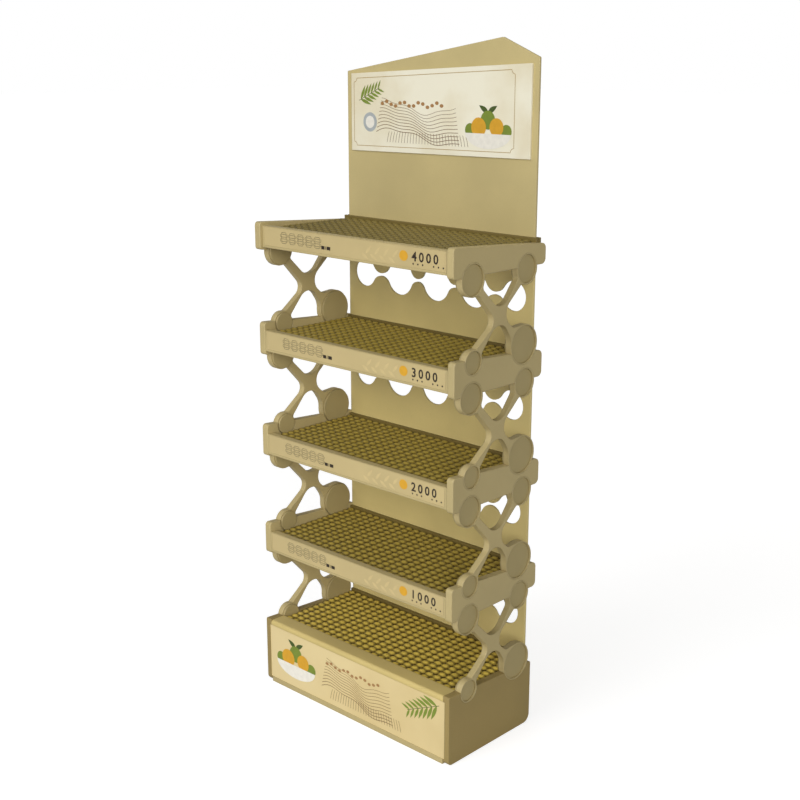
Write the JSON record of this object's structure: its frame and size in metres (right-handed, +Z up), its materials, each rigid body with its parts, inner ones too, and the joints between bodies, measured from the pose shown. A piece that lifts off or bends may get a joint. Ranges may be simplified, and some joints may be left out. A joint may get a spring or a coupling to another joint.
{
  "type": "cardboard display stand",
  "caption": "Free-standing shop display of painted board: shelves between side plates on X-shaped struts, with a pierced back panel and a header.",
  "frame": {"origin": "middle of the underside of the stand's bottom board, on the floor", "axes": "+Z up, +X to the right seen from the front, +Y to the back; the front faces -Y"},
  "size_m": [0.6, 0.298, 1.5396],
  "materials": {
    "painted_board": "satin champagne paint",
    "plug_face": "satin champagne paint",
    "back_board": "satin champagne paint",
    "printed_card": "satin print",
    "woven_mat": "satin relief",
    "dark_rail": "matt paint"
  },
  "bodies": {
    "root": {"back_panel": "back_board", "base_back_rail": "dark_rail", "base_bottom": "painted_board", "base_deck": "painted_board", "base_front_board": "painted_board", "base_ledge": "painted_board", "base_left_side": "painted_board", "base_mat": "woven_mat", "base_printed_card": "printed_card", "base_right_side": "painted_board", "header_board": "back_board", "header_graphic": "printed_card", "strut_1_left": "painted_board", "strut_1_left_plugs": "plug_face", "strut_1_right": "painted_board", "strut_1_right_plugs": "plug_face", "strut_2_left": "painted_board", "strut_2_left_plugs": "plug_face", "strut_2_right": "painted_board", "strut_2_right_plugs": "plug_face", "strut_3_left": "painted_board", "strut_3_left_plugs": "plug_face", "strut_3_right": "painted_board", "strut_3_right_plugs": "plug_face", "strut_4_left": "painted_board", "strut_4_left_plugs": "plug_face", "strut_4_right": "painted_board", "strut_4_right_plugs": "plug_face", "top_rail": "dark_rail", "tray_1_back_rail": "dark_rail", "tray_1_deck": "painted_board", "tray_1_fascia": "painted_board", "tray_1_left_cheek": "painted_board", "tray_1_mat": "woven_mat", "tray_1_price_strip": "printed_card", "tray_1_right_cheek": "painted_board", "tray_2_back_rail": "dark_rail", "tray_2_deck": "painted_board", "tray_2_fascia": "painted_board", "tray_2_left_cheek": "painted_board", "tray_2_mat": "woven_mat", "tray_2_price_strip": "printed_card", "tray_2_right_cheek": "painted_board", "tray_3_back_rail": "dark_rail", "tray_3_deck": "painted_board", "tray_3_fascia": "painted_board", "tray_3_left_cheek": "painted_board", "tray_3_mat": "woven_mat", "tray_3_price_strip": "printed_card", "tray_3_right_cheek": "painted_board", "tray_4_back_rail": "dark_rail", "tray_4_deck": "painted_board", "tray_4_fascia": "painted_board", "tray_4_left_cheek": "painted_board", "tray_4_mat": "woven_mat", "tray_4_price_strip": "printed_card", "tray_4_right_cheek": "painted_board"}
  },
  "joints": []
}
